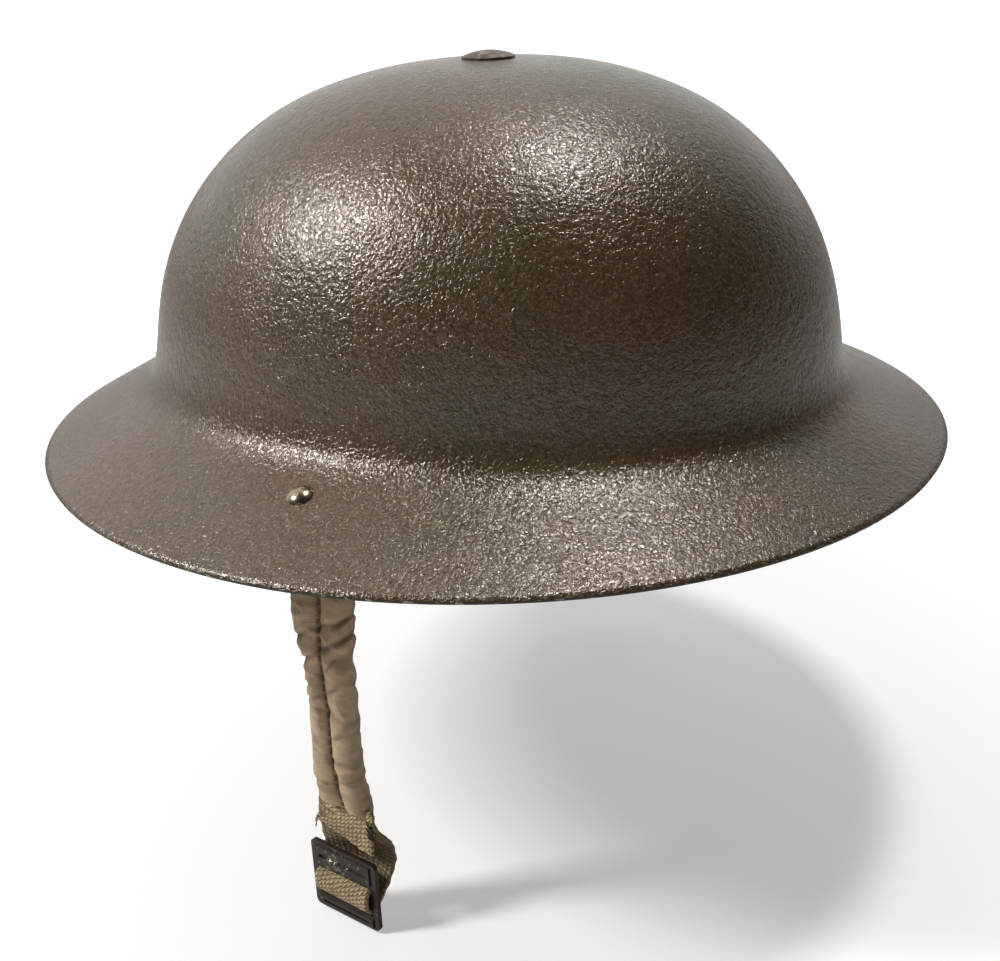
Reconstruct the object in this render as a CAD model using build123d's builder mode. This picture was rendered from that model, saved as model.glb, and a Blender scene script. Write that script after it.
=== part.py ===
from build123d import *
import os
from math import atan2, cos, radians, sin, sqrt

# Wide-brimmed steel helmet with its liner and its sprung chin strap, lengths in millimetres.
# The origin is the centre of the brim's edge, level with the upper corner of the steel.
# +Z is up, -Y is the wearer's front and +X the wearer's left.
os.makedirs("parts", exist_ok=True)

overrun = 5              # how far every cutting shape runs past what it cuts
seat_gap = 0.12          # room where a flat piece lies on a curved one
running_gap = 0.08       # room round a bar that turns in its eye
fit_gap = 0.05           # room round a shank in its hole

# Shell: one pressing of sheet steel, a dome on a plain brim with a raw edge.
brim_length = 305
brim_width = 292
shell_height = 117
shell_wall = 1
dome_length = 237.2
dome_width = 199
dome_foot = 10           # height where the dome's own curve would begin
dome_lean = 5            # the top stands this far forward of the brim's centre
length_fullness = 2.36   # 2 is an ellipse, more is squarer at the shoulders
width_fullness = 2.52
flare_height = 30        # height where the flare has turned into the wall
top_flat = 11            # radius of the flat seat for the crown screw
seam_turn = 45           # degrees from the wearer's left, to keep the faces' seams off the lugs
# Height and reach towards the brim's edge, from well past the edge up the flare.
straight_flare_shares = [(-0.12, 1.2), (0, 1), (0.1, 0.833), (0.2, 0.667), (0.3, 0.5), (0.4, 0.335)]
turned_flare_shares = [(0.5, 0.19), (0.62, 0.085), (0.78, 0.03), (1, 0.005)]
dome_shares = [0.33, 0.46, 0.58, 0.69, 0.78, 0.86, 0.92, 0.96, 0.985]

# Crown fastening: screw, rubber washer, two liner straps, plate washer, nut.
screw_radius = 2.9
screw_head_radius = 8.5
screw_head_edge = 0.7
screw_head_height = 2.5
screw_tail = 1           # how far the screw stands out of its nut
crown_washer_radius = 10
crown_washer_height = 3
plate_washer_height = 1
nut_width = 10           # across the flats
nut_height = 4

# Liner hoop and the rubber buffers between it and the shell.
hoop_bottom = 16
hoop_height = 24
hoop_wall = 1.6
buffer_radius = 3.6
buffer_bore = 1.6
buffer_height = 14
buffer_gap = 0.2
buffer_count = 12
buffer_rivet_radius = 0.8
buffer_rivet_head = 2
buffer_rivet_head_height = 0.6

# Two fibre straps that cross under the crown, with two rivets in each leg.
strap_width = 25
strap_wall = 1.2
strap_foot = 2           # the legs end this far above the hoop's lower edge
strap_spring = 1         # the arch begins this far above the hoop's upper edge
rivet_radius = 1.6
rivet_head_radius = 3.4
rivet_head_height = 0.9
leg_rivet_shares = [0.3, 0.72]

# Lining: headband, felt behind it, tongues over the head and the lace that gathers them.
lining_room = 0.4        # room between the felt and the rivet heads
felt_wall = 3
felt_height = 26
band_wall = 1.6
band_top = 48
tongue_wall = 1.2
tongue_bottom = 40
tongue_rise_share = 0.43  # of the dome's own height
tongue_count = 8
tongue_notch_width = 26  # of each notch, at the middle of the lining
tongue_notch_share = 0.94  # how far out the notches reach, of the headband
tongue_mouth_length = 112
tongue_mouth_width = 84
tongue_angles = [0, 14, 28, 42, 56, 70, 82]
lace_radius = 1.1

# Crown pad: a thick ring of rubber under the crossing of the straps.
pad_radius = 30
pad_hole = 8.5
pad_height = 8
pad_corner = 3
pad_room = 0.3

# Lugs: folded steel strip, riveted under the brim, with an eye for the bail.
lug_rivet_share = 0.327  # how far out on the brim, from the dome to the edge
lug_rivet_radius = 2
lug_rivet_head_radius = 4
lug_rivet_head_height = 1.9
lug_rivet_set_radius = 3
lug_rivet_set_height = 1
lug_width = 16
lug_steel = 1.2
lug_front = 6.5
lug_back = 6.6

# Bails: rectangular loops of round wire.
bail_wire = 2.5
bail_span = 24.5         # between the centres of its side bars
bail_drop = 11           # between the centres of its upper and lower bars
bail_corner = 2.6

# Strap ends: cotton tape folded round the bail's lower bar.
tape_wall = 1.4
tape_width = 17
tape_length = 9.7        # below the bar's centre, down to the sleeve

# Sleeves: two stitched cotton tubes side by side, each round an extension spring.
sleeve_length = 87
sleeve_width = 21.4      # at its fullest
sleeve_depth = 9
sleeve_waist_share = 0.5  # depth left at the seam between the tubes
spring_radius = 2.6
spring_wire = 0.8
spring_pitch = 8         # between the centres of the two springs
spring_end = 2           # room above and below each spring
sleeve_room = 0.3        # round each spring, and below the sleeve
# Place down the sleeve, its width, its depth and its shift to the back.
sleeve_shares = [
    (0, 0.9, 0.86, 0.04), (0.125, 0.98, 1, 0.05), (0.25, 1, 1, 0.06), (0.375, 0.81, 0.9, 0.06),
    (0.5, 0.85, 1, 0.06), (0.625, 0.8, 0.88, 0.05), (0.75, 0.84, 0.94, 0.05),
    (0.875, 0.86, 0.96, 0.04), (1, 0.88, 0.86, 0.03),
]

# Webbing: woven cotton strap, the buckle's half short and the free half long.
web_wall = 1.4
web_width = 22
web_drop = 28.6          # from the sleeve to the buckle's bar
web_lap = 12             # the turned end, sewn back to the strap
web_twist = 10           # the buckle's half is turned this far about the upright
loop_play = 0.65         # room round the bar, front and back
loop_height_play = 0.5
tail_drop = 15           # the free half goes down this far before its fold
tail_rise = 96           # and comes back up this far
tail_room = 1.25         # between the folded half and the sleeve
tip_wall = 0.6
tip_length = 8

# Buckle: pressed steel slide with one wide and one narrow bar and a centre bar.
buckle_width = 27
buckle_steel = 1.5
buckle_bar = 3.4         # height of the centre bar
buckle_side = 2.2
buckle_top = 9.6         # height of the wide bar
buckle_bottom = 5
buckle_upper_room = 1.2  # between the webbing's loop and the wide bar
buckle_lower_room = 2
buckle_corner = 1.6
buckle_rim = 1.5         # from the edge of a bar to its raised rib
buckle_rib_rise = 0.6
buckle_groove_share = 0.24


def dome_share(height):
    """How far up the dome's own curve a height lies, from 0 at its foot to 1 at its top."""
    return max(height - dome_foot, 0) / (shell_height - dome_foot)


def dome_half(length, fullness, height):
    """Half of the dome's outer length or width at a height."""
    return length / 2 * (1 - dome_share(height) ** fullness) ** (1 / fullness)


def shell_rings(depth):
    """Rings up the shell, pushed in square to its wall by a depth: half length, half width, height."""
    rings = []
    for height_share, reach_share in straight_flare_shares + turned_flare_shares:
        height = flare_height * height_share
        half_length = dome_half(dome_length, length_fullness, height)
        half_width = dome_half(dome_width, width_fullness, height)
        half_length += reach_share * (brim_length - dome_length) / 2
        half_width += reach_share * (brim_width - dome_width) / 2
        rings.append((half_length, half_width, height))
    for share in dome_shares:
        height = dome_foot + share * (shell_height - dome_foot)
        half_length = dome_half(dome_length, length_fullness, height)
        half_width = dome_half(dome_width, width_fullness, height)
        rings.append((half_length, half_width, height))
    pushed = []
    for place, (half_length, half_width, height) in enumerate(rings):
        before = rings[max(place - 1, 0)]
        after = rings[min(place + 1, len(rings) - 1)]
        run = before[1] - after[1]
        rise = after[2] - before[2]
        slant = sqrt(run**2 + rise**2)
        inward = depth * rise / slant
        pushed.append((half_length - inward, half_width - inward, height - depth * run / slant))
    return pushed + [(top_flat, top_flat, shell_height - depth)]


def write(piece, name):
    """Label a finished piece and write it to its own file."""
    piece.label = name
    export_step(piece, f"parts/{name}.step")


def write_pair(piece, name):
    """Write a left piece, and its mirror image as the right one."""
    write(piece, f"{name}_left")
    write(mirror(piece, about=Plane.YZ), f"{name}_right")


# The lug's seat: the underside of the brim on the wearer's left, where the brim is straight.
edge_height_share, edge_reach_share = straight_flare_shares[0]
turn_height_share, turn_reach_share = straight_flare_shares[-1]
brim_reach = (brim_width - dome_width) / 2
brim_rise = flare_height * (turn_height_share - edge_height_share)
brim_run = brim_reach * (edge_reach_share - turn_reach_share)
brim_slope = atan2(brim_rise, brim_run)
rivet_x = dome_width / 2 + lug_rivet_share * brim_reach
rivet_share = (edge_reach_share - lug_rivet_share) / (edge_reach_share - turn_reach_share)
rivet_height = flare_height * edge_height_share + brim_rise * rivet_share
rivet_top = Vector(rivet_x, 0, rivet_height)
brim_down = Vector(cos(brim_slope), 0, -sin(brim_slope))
brim_up = Vector(sin(brim_slope), 0, cos(brim_slope))
lug_seat = rivet_top - brim_up * (shell_wall + seat_gap)
eye_radius = bail_wire / 2 + running_gap
eye = lug_seat - brim_down * lug_back - brim_up * (eye_radius + lug_steel)
lug_hole = lug_rivet_radius + fit_gap

with BuildPart() as shell:
    for depth, way in ((0, Mode.ADD), (shell_wall, Mode.SUBTRACT)):
        for half_length, half_width, height in shell_rings(depth):
            with BuildSketch(Plane((0, -dome_lean * dome_share(height), height))):
                with Locations(Rotation(0, 0, seam_turn)):
                    Circle(1)
                scale(by=(half_width, half_length, 1))
        loft(mode=way)
    with BuildSketch(Plane.XY.offset(-4 * overrun)):
        Ellipse(brim_width / 2, brim_length / 2)
    extrude(amount=shell_height + 8 * overrun, mode=Mode.INTERSECT)
    with Locations((0, -dome_lean, shell_height)):
        Cylinder(screw_radius + fit_gap, 2 * overrun, mode=Mode.SUBTRACT)
    for side in (-1, 1):
        with Locations(Plane((side * rivet_x, 0, rivet_height), z_dir=(side * brim_up.X, 0, brim_up.Z))):
            Cylinder(lug_hole, 2 * overrun, mode=Mode.SUBTRACT)
write(shell.part, "shell")

# Heights of the crown stack, from the underside of the shell down.
washer_top = shell_height - shell_wall
long_strap_top = washer_top - crown_washer_height
cross_strap_top = long_strap_top - strap_wall
plate_top = cross_strap_top - strap_wall
nut_top = plate_top - plate_washer_height
screw_end = nut_top - nut_height - screw_tail
crown_axis = Axis((0, -dome_lean, 0), (0, 0, 1))
crown_plane = Plane((0, -dome_lean, 0), x_dir=(1, 0, 0), z_dir=(0, -1, 0))

with BuildPart() as crown_screw:
    with BuildSketch(crown_plane):
        with BuildLine():
            edge = (screw_head_radius, shell_height + screw_head_edge)
            top = (0, shell_height + screw_head_height)
            Polyline(top, (0, screw_end), (screw_radius, screw_end), (screw_radius, shell_height),
                     (screw_head_radius, shell_height), edge)
            TangentArc(top, edge, tangent=(1, 0))
        make_face()
    revolve(axis=crown_axis)
write(crown_screw.part, "crown_screw")

with BuildPart() as crown_washer:
    with BuildSketch(Plane((0, -dome_lean, long_strap_top))):
        Circle(crown_washer_radius)
        Circle(screw_radius + fit_gap, mode=Mode.SUBTRACT)
    extrude(amount=crown_washer_height)
write(crown_washer.part, "crown_washer")

with BuildPart() as plate_washer:
    with BuildSketch(Plane((0, -dome_lean, nut_top))):
        Circle(crown_washer_radius)
        Circle(screw_radius + fit_gap, mode=Mode.SUBTRACT)
    extrude(amount=plate_washer_height)
write(plate_washer.part, "plate_washer")

with BuildPart() as crown_nut:
    with BuildSketch(Plane((0, -dome_lean, nut_top - nut_height))):
        RegularPolygon(nut_width / 2, 6, major_radius=False)
        Circle(screw_radius + fit_gap, mode=Mode.SUBTRACT)
    extrude(amount=nut_height)
write(crown_nut.part, "crown_nut")

# The hoop stands off the shell by one buffer all round, measured at the buffers' upper ends.
hoop_middle = hoop_bottom + hoop_height / 2
buffer_bottom = hoop_middle - buffer_height / 2
buffer_top = hoop_middle + buffer_height / 2
stand_off = shell_wall + 2 * (buffer_radius + buffer_gap)
hoop_length = dome_half(dome_length, length_fullness, buffer_top) - stand_off
hoop_width = dome_half(dome_width, width_fullness, buffer_top) - stand_off
hoop_y = -dome_lean * dome_share(buffer_top)


def ellipse_normal(half_width, half_length, angle):
    """Outward direction of an ellipse at one of its own angles."""
    across = cos(radians(angle)) / half_width
    along = sin(radians(angle)) / half_length
    return Vector(across, along, 0).normalized()


def buffer_planes():
    """Planes on the hoop's outer face, one for each buffer, facing outwards."""
    for place in range(buffer_count):
        angle = (place + 0.5) * 360 / buffer_count
        x = hoop_width * cos(radians(angle))
        y = hoop_y + hoop_length * sin(radians(angle))
        outward = ellipse_normal(hoop_width, hoop_length, angle)
        yield Plane((x, y, hoop_middle), x_dir=(-outward.Y, outward.X, 0), z_dir=outward)


# Each leg is flat, so its edges meet the curved hoop first and its middle stands off a little.
inner_length = hoop_length - hoop_wall
inner_width = hoop_width - hoop_wall
cross_shift = -dome_lean - hoop_y
front_edge = strap_width / 2
side_edge = strap_width / 2 + abs(cross_shift)
front_face = inner_length * sqrt(1 - (front_edge / inner_width) ** 2) - seat_gap
side_face = inner_width * sqrt(1 - (side_edge / inner_length) ** 2) - seat_gap
leg_bottom = hoop_bottom + strap_foot
arch_bottom = hoop_bottom + hoop_height + strap_spring
leg_rivet_heights = [hoop_bottom + share * hoop_height for share in leg_rivet_shares]


def leg_planes():
    """Planes on the outer face of each leg, one for each rivet: plane, and depth of the joint."""
    for height in leg_rivet_heights:
        for side in (-1, 1):
            yield (Plane((0, hoop_y + side * front_face, height), z_dir=(0, side, 0)),
                   hoop_length - front_face)
            yield Plane((side * side_face, -dome_lean, height), z_dir=(side, 0, 0)), hoop_width - side_face


with BuildPart() as liner_hoop:
    with BuildSketch(Plane((0, hoop_y, hoop_bottom))):
        Ellipse(hoop_width, hoop_length)
        Ellipse(inner_width, inner_length, mode=Mode.SUBTRACT)
    extrude(amount=hoop_height)
    for plane, depth in leg_planes():
        with Locations(plane):
            Cylinder(rivet_radius + fit_gap, 2 * overrun, mode=Mode.SUBTRACT)
    for plane in buffer_planes():
        with Locations(plane):
            Cylinder(buffer_rivet_radius + fit_gap, 2 * overrun, mode=Mode.SUBTRACT)
write(liner_hoop.part, "liner_hoop")

buffers = []
buffer_rivets = []
for plane in buffer_planes():
    buffer_y = plane.origin + plane.z_dir * (buffer_radius + buffer_gap)
    with BuildPart() as rubber_buffer:
        with BuildSketch(Plane((buffer_y.X, buffer_y.Y, buffer_bottom))):
            Circle(buffer_radius)
            Circle(buffer_bore, mode=Mode.SUBTRACT)
        extrude(amount=buffer_height)
        with Locations(plane):
            Cylinder(buffer_rivet_radius + fit_gap, 2 * buffer_radius, mode=Mode.SUBTRACT)
    buffers.append(rubber_buffer.part)
    with BuildPart() as buffer_rivet:
        with BuildSketch(plane.offset(-hoop_wall - buffer_rivet_head_height)):
            Circle(buffer_rivet_head)
        extrude(amount=buffer_rivet_head_height - fit_gap)
        with BuildSketch(plane.offset(-hoop_wall - buffer_rivet_head_height)):
            Circle(buffer_rivet_radius)
        extrude(amount=buffer_rivet_head_height + hoop_wall + buffer_radius)
    buffer_rivets.append(buffer_rivet.part)
write(Compound(children=buffers), "rubber_buffers")
write(Compound(children=buffer_rivets), "buffer_rivets")


def arch_view(plane, near, far, middle, top):
    """A strap's side view, filled: two legs, two quarter ellipses and a flat under the screw."""
    flat = strap_width / 2 + fit_gap
    rise = top - arch_bottom
    with BuildSketch(plane) as view:
        with BuildLine():
            Polyline((near, arch_bottom), (near, leg_bottom), (far, leg_bottom), (far, arch_bottom))
            EllipticalCenterArc((middle + flat, arch_bottom), far - middle - flat, rise, start_angle=0)
            Line((middle + flat, top), (middle - flat, top))
            EllipticalCenterArc((middle - flat, arch_bottom), middle - flat - near, rise, start_angle=90)
        make_face()
    return view.sketch


def liner_strap(plane, near, far, middle, top):
    """One flat strap, bent to its arch and bored for the crown screw and its rivets."""
    with BuildPart() as strap:
        extrude(arch_view(plane, near, far, middle, top), amount=strap_width / 2, both=True)
        inner_view = arch_view(plane, near + strap_wall, far - strap_wall, middle, top - strap_wall)
        extrude(inner_view, amount=strap_width, both=True, mode=Mode.SUBTRACT)
        with Locations((0, -dome_lean, top)):
            Cylinder(screw_radius + fit_gap, 2 * overrun, mode=Mode.SUBTRACT)
        for joint, _ in leg_planes():
            with Locations(joint):
                Cylinder(rivet_radius + fit_gap, 2 * overrun, mode=Mode.SUBTRACT)
    return strap.part


long_strap = liner_strap(Plane.YZ, hoop_y - front_face, hoop_y + front_face, -dome_lean, long_strap_top)
write(long_strap, "long_strap")
cross_strap = liner_strap(crown_plane, -side_face, side_face, 0, cross_strap_top)
write(cross_strap, "cross_strap")

strap_rivets = []
for joint, stand in leg_planes():
    with BuildPart() as strap_rivet:
        with BuildSketch(joint.offset(-strap_wall - rivet_head_height)):
            Circle(rivet_head_radius)
        extrude(amount=rivet_head_height)
        with BuildSketch(joint.offset(-strap_wall)):
            Circle(rivet_radius)
        extrude(amount=strap_wall + stand + rivet_head_height)
        with BuildSketch(joint.offset(stand + fit_gap)):
            Circle(rivet_head_radius)
        extrude(amount=rivet_head_height - fit_gap)
    strap_rivets.append(strap_rivet.part)
write(Compound(children=strap_rivets), "strap_rivets")

# The felt lies inside the rivet heads, the headband inside the felt.
felt_length = front_face - strap_wall - rivet_head_height - lining_room
felt_width = side_face - strap_wall - rivet_head_height - lining_room
band_length = felt_length - felt_wall - fit_gap
band_width = felt_width - felt_wall - fit_gap

with BuildPart() as felt_band:
    with BuildSketch(Plane((0, hoop_y, hoop_bottom))):
        Ellipse(felt_width, felt_length)
        Ellipse(felt_width - felt_wall, felt_length - felt_wall, mode=Mode.SUBTRACT)
    extrude(amount=felt_height)
write(felt_band.part, "felt_band")

with BuildPart() as headband:
    with BuildSketch(Plane((0, hoop_y, hoop_bottom - band_wall))):
        Ellipse(band_width, band_length)
        Ellipse(band_width - band_wall, band_length - band_wall, mode=Mode.SUBTRACT)
    extrude(amount=band_top - hoop_bottom + band_wall)
    with BuildSketch(Plane((0, hoop_y, hoop_bottom - band_wall))):
        Ellipse(hoop_width, hoop_length)
        Ellipse(band_width - band_wall, band_length - band_wall, mode=Mode.SUBTRACT)
    extrude(amount=band_wall)
write(headband.part, "headband")

tongue_rise = (shell_height - dome_foot) * tongue_rise_share
mouth_length = tongue_mouth_length / 2
mouth_width = tongue_mouth_width / 2


def tongue_rings(depth):
    """Rings up the tongues: half length, half width, height."""
    start_length = band_length - band_wall - fit_gap
    start_width = band_width - band_wall - fit_gap
    for angle in tongue_angles:
        inward = 1 - cos(radians(angle))
        yield (start_length - (start_length - mouth_length) * inward - depth,
               start_width - (start_width - mouth_width) * inward - depth,
               tongue_bottom + tongue_rise * sin(radians(angle)) - depth * sin(radians(angle)))


with BuildPart() as lining_tongues:
    for half_length, half_width, height in tongue_rings(0):
        with BuildSketch(Plane((0, hoop_y, height))):
            Circle(1)
            scale(by=(half_width, half_length, 1))
    loft()
    rings = list(tongue_rings(tongue_wall))
    low_length, low_width, low_height = rings[0]
    high_length, high_width, high_height = rings[-1]
    with BuildSketch(Plane((0, hoop_y, low_height - overrun))):
        Circle(1)
        scale(by=(low_width, low_length, 1))
    for half_length, half_width, height in rings:
        with BuildSketch(Plane((0, hoop_y, height))):
            Circle(1)
            scale(by=(half_width, half_length, 1))
    loft(mode=Mode.SUBTRACT)
    with BuildSketch(Plane((0, hoop_y, high_height - overrun))):
        Circle(1)
        scale(by=(high_width, high_length, 1))
    extrude(amount=2 * overrun, mode=Mode.SUBTRACT)
    notch_reach = band_width * tongue_notch_share
    with BuildSketch(Plane((0, hoop_y, band_top))):
        with PolarLocations(0, tongue_count, start_angle=180 / tongue_count):
            Polygon((0, -tongue_notch_width / 2), (notch_reach, 0), (0, tongue_notch_width / 2), align=None)
    extrude(amount=tongue_rise, mode=Mode.SUBTRACT)
write(lining_tongues.part, "lining_tongues")

# The lace lies just inside the tongues' tips, drawn into a closed loop.
mouth_y, mouth_x, lace_height = list(tongue_rings(tongue_wall))[-1]
lace_y = mouth_y - lace_radius - fit_gap
lace_x = mouth_x - lace_radius - fit_gap
with BuildPart() as lining_lace:
    with BuildLine(Plane((0, hoop_y, lace_height))) as lace_line:
        EllipticalCenterArc((0, 0), lace_x, lace_y, start_angle=0, arc_size=180)
        EllipticalCenterArc((0, 0), lace_x, lace_y, start_angle=180, arc_size=180)
    with BuildSketch(Plane(lace_line.line @ 0, z_dir=lace_line.line % 0)):
        Circle(lace_radius)
    sweep()
write(lining_lace.part, "lining_lace")

# The pad bears on the undersides of the two straps, whose lowest place over it is at its rim.
arch_rise = cross_strap_top - strap_wall - arch_bottom
arch_reach = side_face - strap_wall - strap_width / 2 - fit_gap
pad_reach = pad_radius - strap_width / 2 - fit_gap
pad_top = arch_bottom + arch_rise * sqrt(1 - (pad_reach / arch_reach) ** 2) - pad_room
with BuildPart() as crown_pad:
    with BuildSketch(Plane((0, -dome_lean, pad_top - pad_height))):
        Circle(pad_radius)
        Circle(pad_hole, mode=Mode.SUBTRACT)
    extrude(amount=pad_height)
    outer_edges = crown_pad.edges().filter_by(GeomType.CIRCLE).group_by(SortBy.RADIUS)[-1]
    fillet(outer_edges.sort_by(Axis.Z)[0], radius=pad_corner)
write(crown_pad.part, "crown_pad")

# Left lug, with its eye rolled from the strip's inner end, and its rivet.
lug_view = Plane(lug_seat, x_dir=brim_down, z_dir=(0, -1, 0))
eye_outer = eye_radius + lug_steel
with BuildPart() as lug:
    with BuildSketch(lug_view):
        with Locations(((lug_front - lug_back) / 2, -lug_steel / 2)):
            Rectangle(lug_front + lug_back, lug_steel)
        with Locations((-lug_back, -eye_outer)):
            Circle(eye_outer)
            Circle(eye_radius, mode=Mode.SUBTRACT)
    extrude(amount=lug_width / 2, both=True)
    with Locations(Plane(lug_seat, x_dir=brim_down, z_dir=brim_up)):
        Cylinder(lug_hole, 2 * lug_steel + 2 * seat_gap, mode=Mode.SUBTRACT)
write_pair(lug.part, "lug")

with BuildPart() as lug_rivet:
    with BuildSketch(Plane(rivet_top, x_dir=brim_down, z_dir=(0, -1, 0))):
        with BuildLine():
            under_lug = -shell_wall - seat_gap - lug_steel
            set_end = under_lug - lug_rivet_set_height
            rim = (lug_rivet_head_radius, seat_gap)
            crest = (0, lug_rivet_head_height)
            Polyline(crest, (0, set_end), (lug_rivet_set_radius, set_end),
                     (lug_rivet_set_radius, under_lug), (lug_rivet_radius, under_lug),
                     (lug_rivet_radius, seat_gap), rim)
            TangentArc(crest, rim, tangent=(1, 0))
        make_face()
    revolve(axis=Axis(rivet_top, brim_up))
write_pair(lug_rivet.part, "lug_rivet")

# Left bail: a closed loop of wire that hangs in the lug's eye.
with BuildPart() as bail:
    with BuildLine(Plane(eye, x_dir=(0, 1, 0), z_dir=(1, 0, 0))) as bail_line:
        FilletPolyline((-bail_span / 2, 0), (bail_span / 2, 0), (bail_span / 2, -bail_drop),
                       (-bail_span / 2, -bail_drop), radius=bail_corner, close=True)
    with BuildSketch(Plane(bail_line.line @ 0, z_dir=bail_line.line % 0)):
        Circle(bail_wire / 2)
    sweep()
write_pair(bail.part, "bail")

# Left strap end: tape folded round the bail's lower bar, its two plies sewn together below.
lower_bar = eye - Vector(0, 0, bail_drop)
strap_x = lower_bar.X
sleeve_top = lower_bar.Z - tape_length
with BuildPart() as strap_tape:
    with BuildSketch(Plane(lower_bar, x_dir=(1, 0, 0), z_dir=(0, -1, 0))):
        with Locations((0, -tape_length / 2)):
            Rectangle(2 * tape_wall, tape_length)
        Circle(eye_radius + tape_wall)
        Circle(eye_radius, mode=Mode.SUBTRACT)
    extrude(amount=tape_width / 2, both=True)
write_pair(strap_tape.part, "strap_tape")


def sleeve_section(share, width_share, depth_share, shift_share):
    """Plane and points of one section of a sleeve: two round tubes that meet at a waist."""
    plane = Plane((strap_x, sleeve_width * shift_share, sleeve_top - sleeve_length * share))
    half_width = sleeve_width * width_share / 2
    half_depth = sleeve_depth * depth_share / 2
    waist = half_depth * sleeve_waist_share
    return plane, half_width, half_depth, waist


sleeve_bottom = sleeve_top - sleeve_length
spring_y = sleeve_width * sleeve_shares[0][3]
with BuildPart() as sleeve:
    for shares in sleeve_shares:
        plane, half_width, half_depth, waist = sleeve_section(*shares)
        with BuildSketch(plane):
            with BuildLine():
                for side in (-1, 1):
                    end = (0, side * half_width)
                    for face in (-1, 1):
                        ThreePointArc((face * waist, 0), (face * half_depth, side * half_width / 2), end)
            make_face()
    loft(ruled=True)
    for side in (-1, 1):
        with Locations((strap_x, spring_y + side * spring_pitch / 2, sleeve_top - sleeve_length / 2)):
            Cylinder(spring_radius + sleeve_room, sleeve_length + 2 * overrun, mode=Mode.SUBTRACT)
write_pair(sleeve.part, "sleeve")

# The springs are close wound, so each is the tube that its turns fill.
with BuildPart() as springs:
    with BuildSketch(Plane((strap_x, spring_y, sleeve_bottom + spring_end))):
        with Locations((0, -spring_pitch / 2), (0, spring_pitch / 2)):
            Circle(spring_radius)
            Circle(spring_radius - spring_wire, mode=Mode.SUBTRACT)
    extrude(amount=sleeve_length - 2 * spring_end)
write_pair(springs.part, "springs")

# The buckle's bar hangs in front of the strap by the thickness of the sewn turn.
web_top = sleeve_bottom - sleeve_room
loop_inner_depth = buckle_steel + 2 * loop_play
loop_inner_height = buckle_bar + 2 * loop_height_play
loop_outer_depth = loop_inner_depth + 2 * web_wall
loop_outer_height = loop_inner_height + 2 * web_wall
strap_face = loop_outer_depth / 2
web_middle = strap_face + web_wall / 2
outward = Vector(-cos(radians(web_twist)), sin(radians(web_twist)), 0)
forward = Vector(-sin(radians(web_twist)), -cos(radians(web_twist)), 0)
bar_centre = Vector(-strap_x, 0, web_top - web_drop) + outward * web_middle

with BuildPart() as webbing_right:
    with BuildSketch(Plane(bar_centre, x_dir=outward, z_dir=-forward)):
        RectangleRounded(loop_outer_depth, loop_outer_height, loop_outer_depth / 2 - fit_gap)
        with Locations((-strap_face + web_wall / 2, web_lap / 2)):
            Rectangle(web_wall, web_lap)
        with Locations((-web_middle, web_drop / 2)):
            Rectangle(web_wall, web_drop)
        RectangleRounded(loop_inner_depth, loop_inner_height, loop_inner_depth / 2 - fit_gap,
                         mode=Mode.SUBTRACT)
    extrude(amount=web_width / 2, both=True)
write(webbing_right.part, "webbing_right")

# Buckle, seen from outside: its bar is at the plane's origin.
buckle_plane = Plane(bar_centre, x_dir=forward, z_dir=outward)
half_loop = loop_outer_height / 2
top_low = half_loop + buckle_upper_room
top_high = top_low + buckle_top
bottom_high = -half_loop - buckle_lower_room
bottom_low = bottom_high - buckle_bottom
slot_width = buckle_width - 2 * buckle_side
with BuildPart() as buckle:
    with BuildSketch(buckle_plane.offset(-buckle_steel / 2)):
        with Locations((0, (top_high + bottom_low) / 2)):
            RectangleRounded(buckle_width, top_high - bottom_low, buckle_corner)
        with Locations((0, (top_low + buckle_bar / 2) / 2)):
            Rectangle(slot_width, top_low - buckle_bar / 2, mode=Mode.SUBTRACT)
        with Locations((0, (bottom_high - buckle_bar / 2) / 2)):
            Rectangle(slot_width, -buckle_bar / 2 - bottom_high, mode=Mode.SUBTRACT)
    extrude(amount=buckle_steel)
    for low, high in ((top_low, top_high), (bottom_low, bottom_high)):
        rib_height = high - low - 2 * buckle_rim * (high - low) / buckle_top
        groove = rib_height * buckle_groove_share
        with BuildSketch(buckle_plane.offset(buckle_steel / 2)):
            with Locations((0, (low + high) / 2)):
                Rectangle(slot_width, rib_height)
                SlotOverall(slot_width - 2 * buckle_rim, groove, mode=Mode.SUBTRACT)
        extrude(amount=buckle_rib_rise)
write(buckle.part, "buckle")

# Left webbing: the free half, which goes down, folds and comes back up behind its own sleeve.
tail_gap = sleeve_depth / 2 - web_wall / 2 + tail_room
fold_inner = tail_gap / 2
fold_outer = fold_inner + web_wall
fold_z = web_top - tail_drop
tail_x = strap_x - web_wall - tail_gap
tail_top = fold_z + tail_rise
with BuildPart() as webbing_left:
    with BuildSketch(Plane.XZ):
        with Locations((strap_x, (web_top + fold_z) / 2)):
            Rectangle(web_wall, tail_drop)
        with Locations((tail_x, (fold_z + tail_top) / 2)):
            Rectangle(web_wall, tail_rise)
        with Locations(((strap_x + tail_x) / 2, fold_z)):
            Circle(fold_outer)
            Circle(fold_inner, mode=Mode.SUBTRACT)
        with Locations(((strap_x + tail_x) / 2, fold_z + tail_drop / 2)):
            Rectangle(tail_gap, tail_drop, mode=Mode.SUBTRACT)
    extrude(amount=web_width / 2, both=True)
write(webbing_left.part, "webbing_left")

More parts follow.
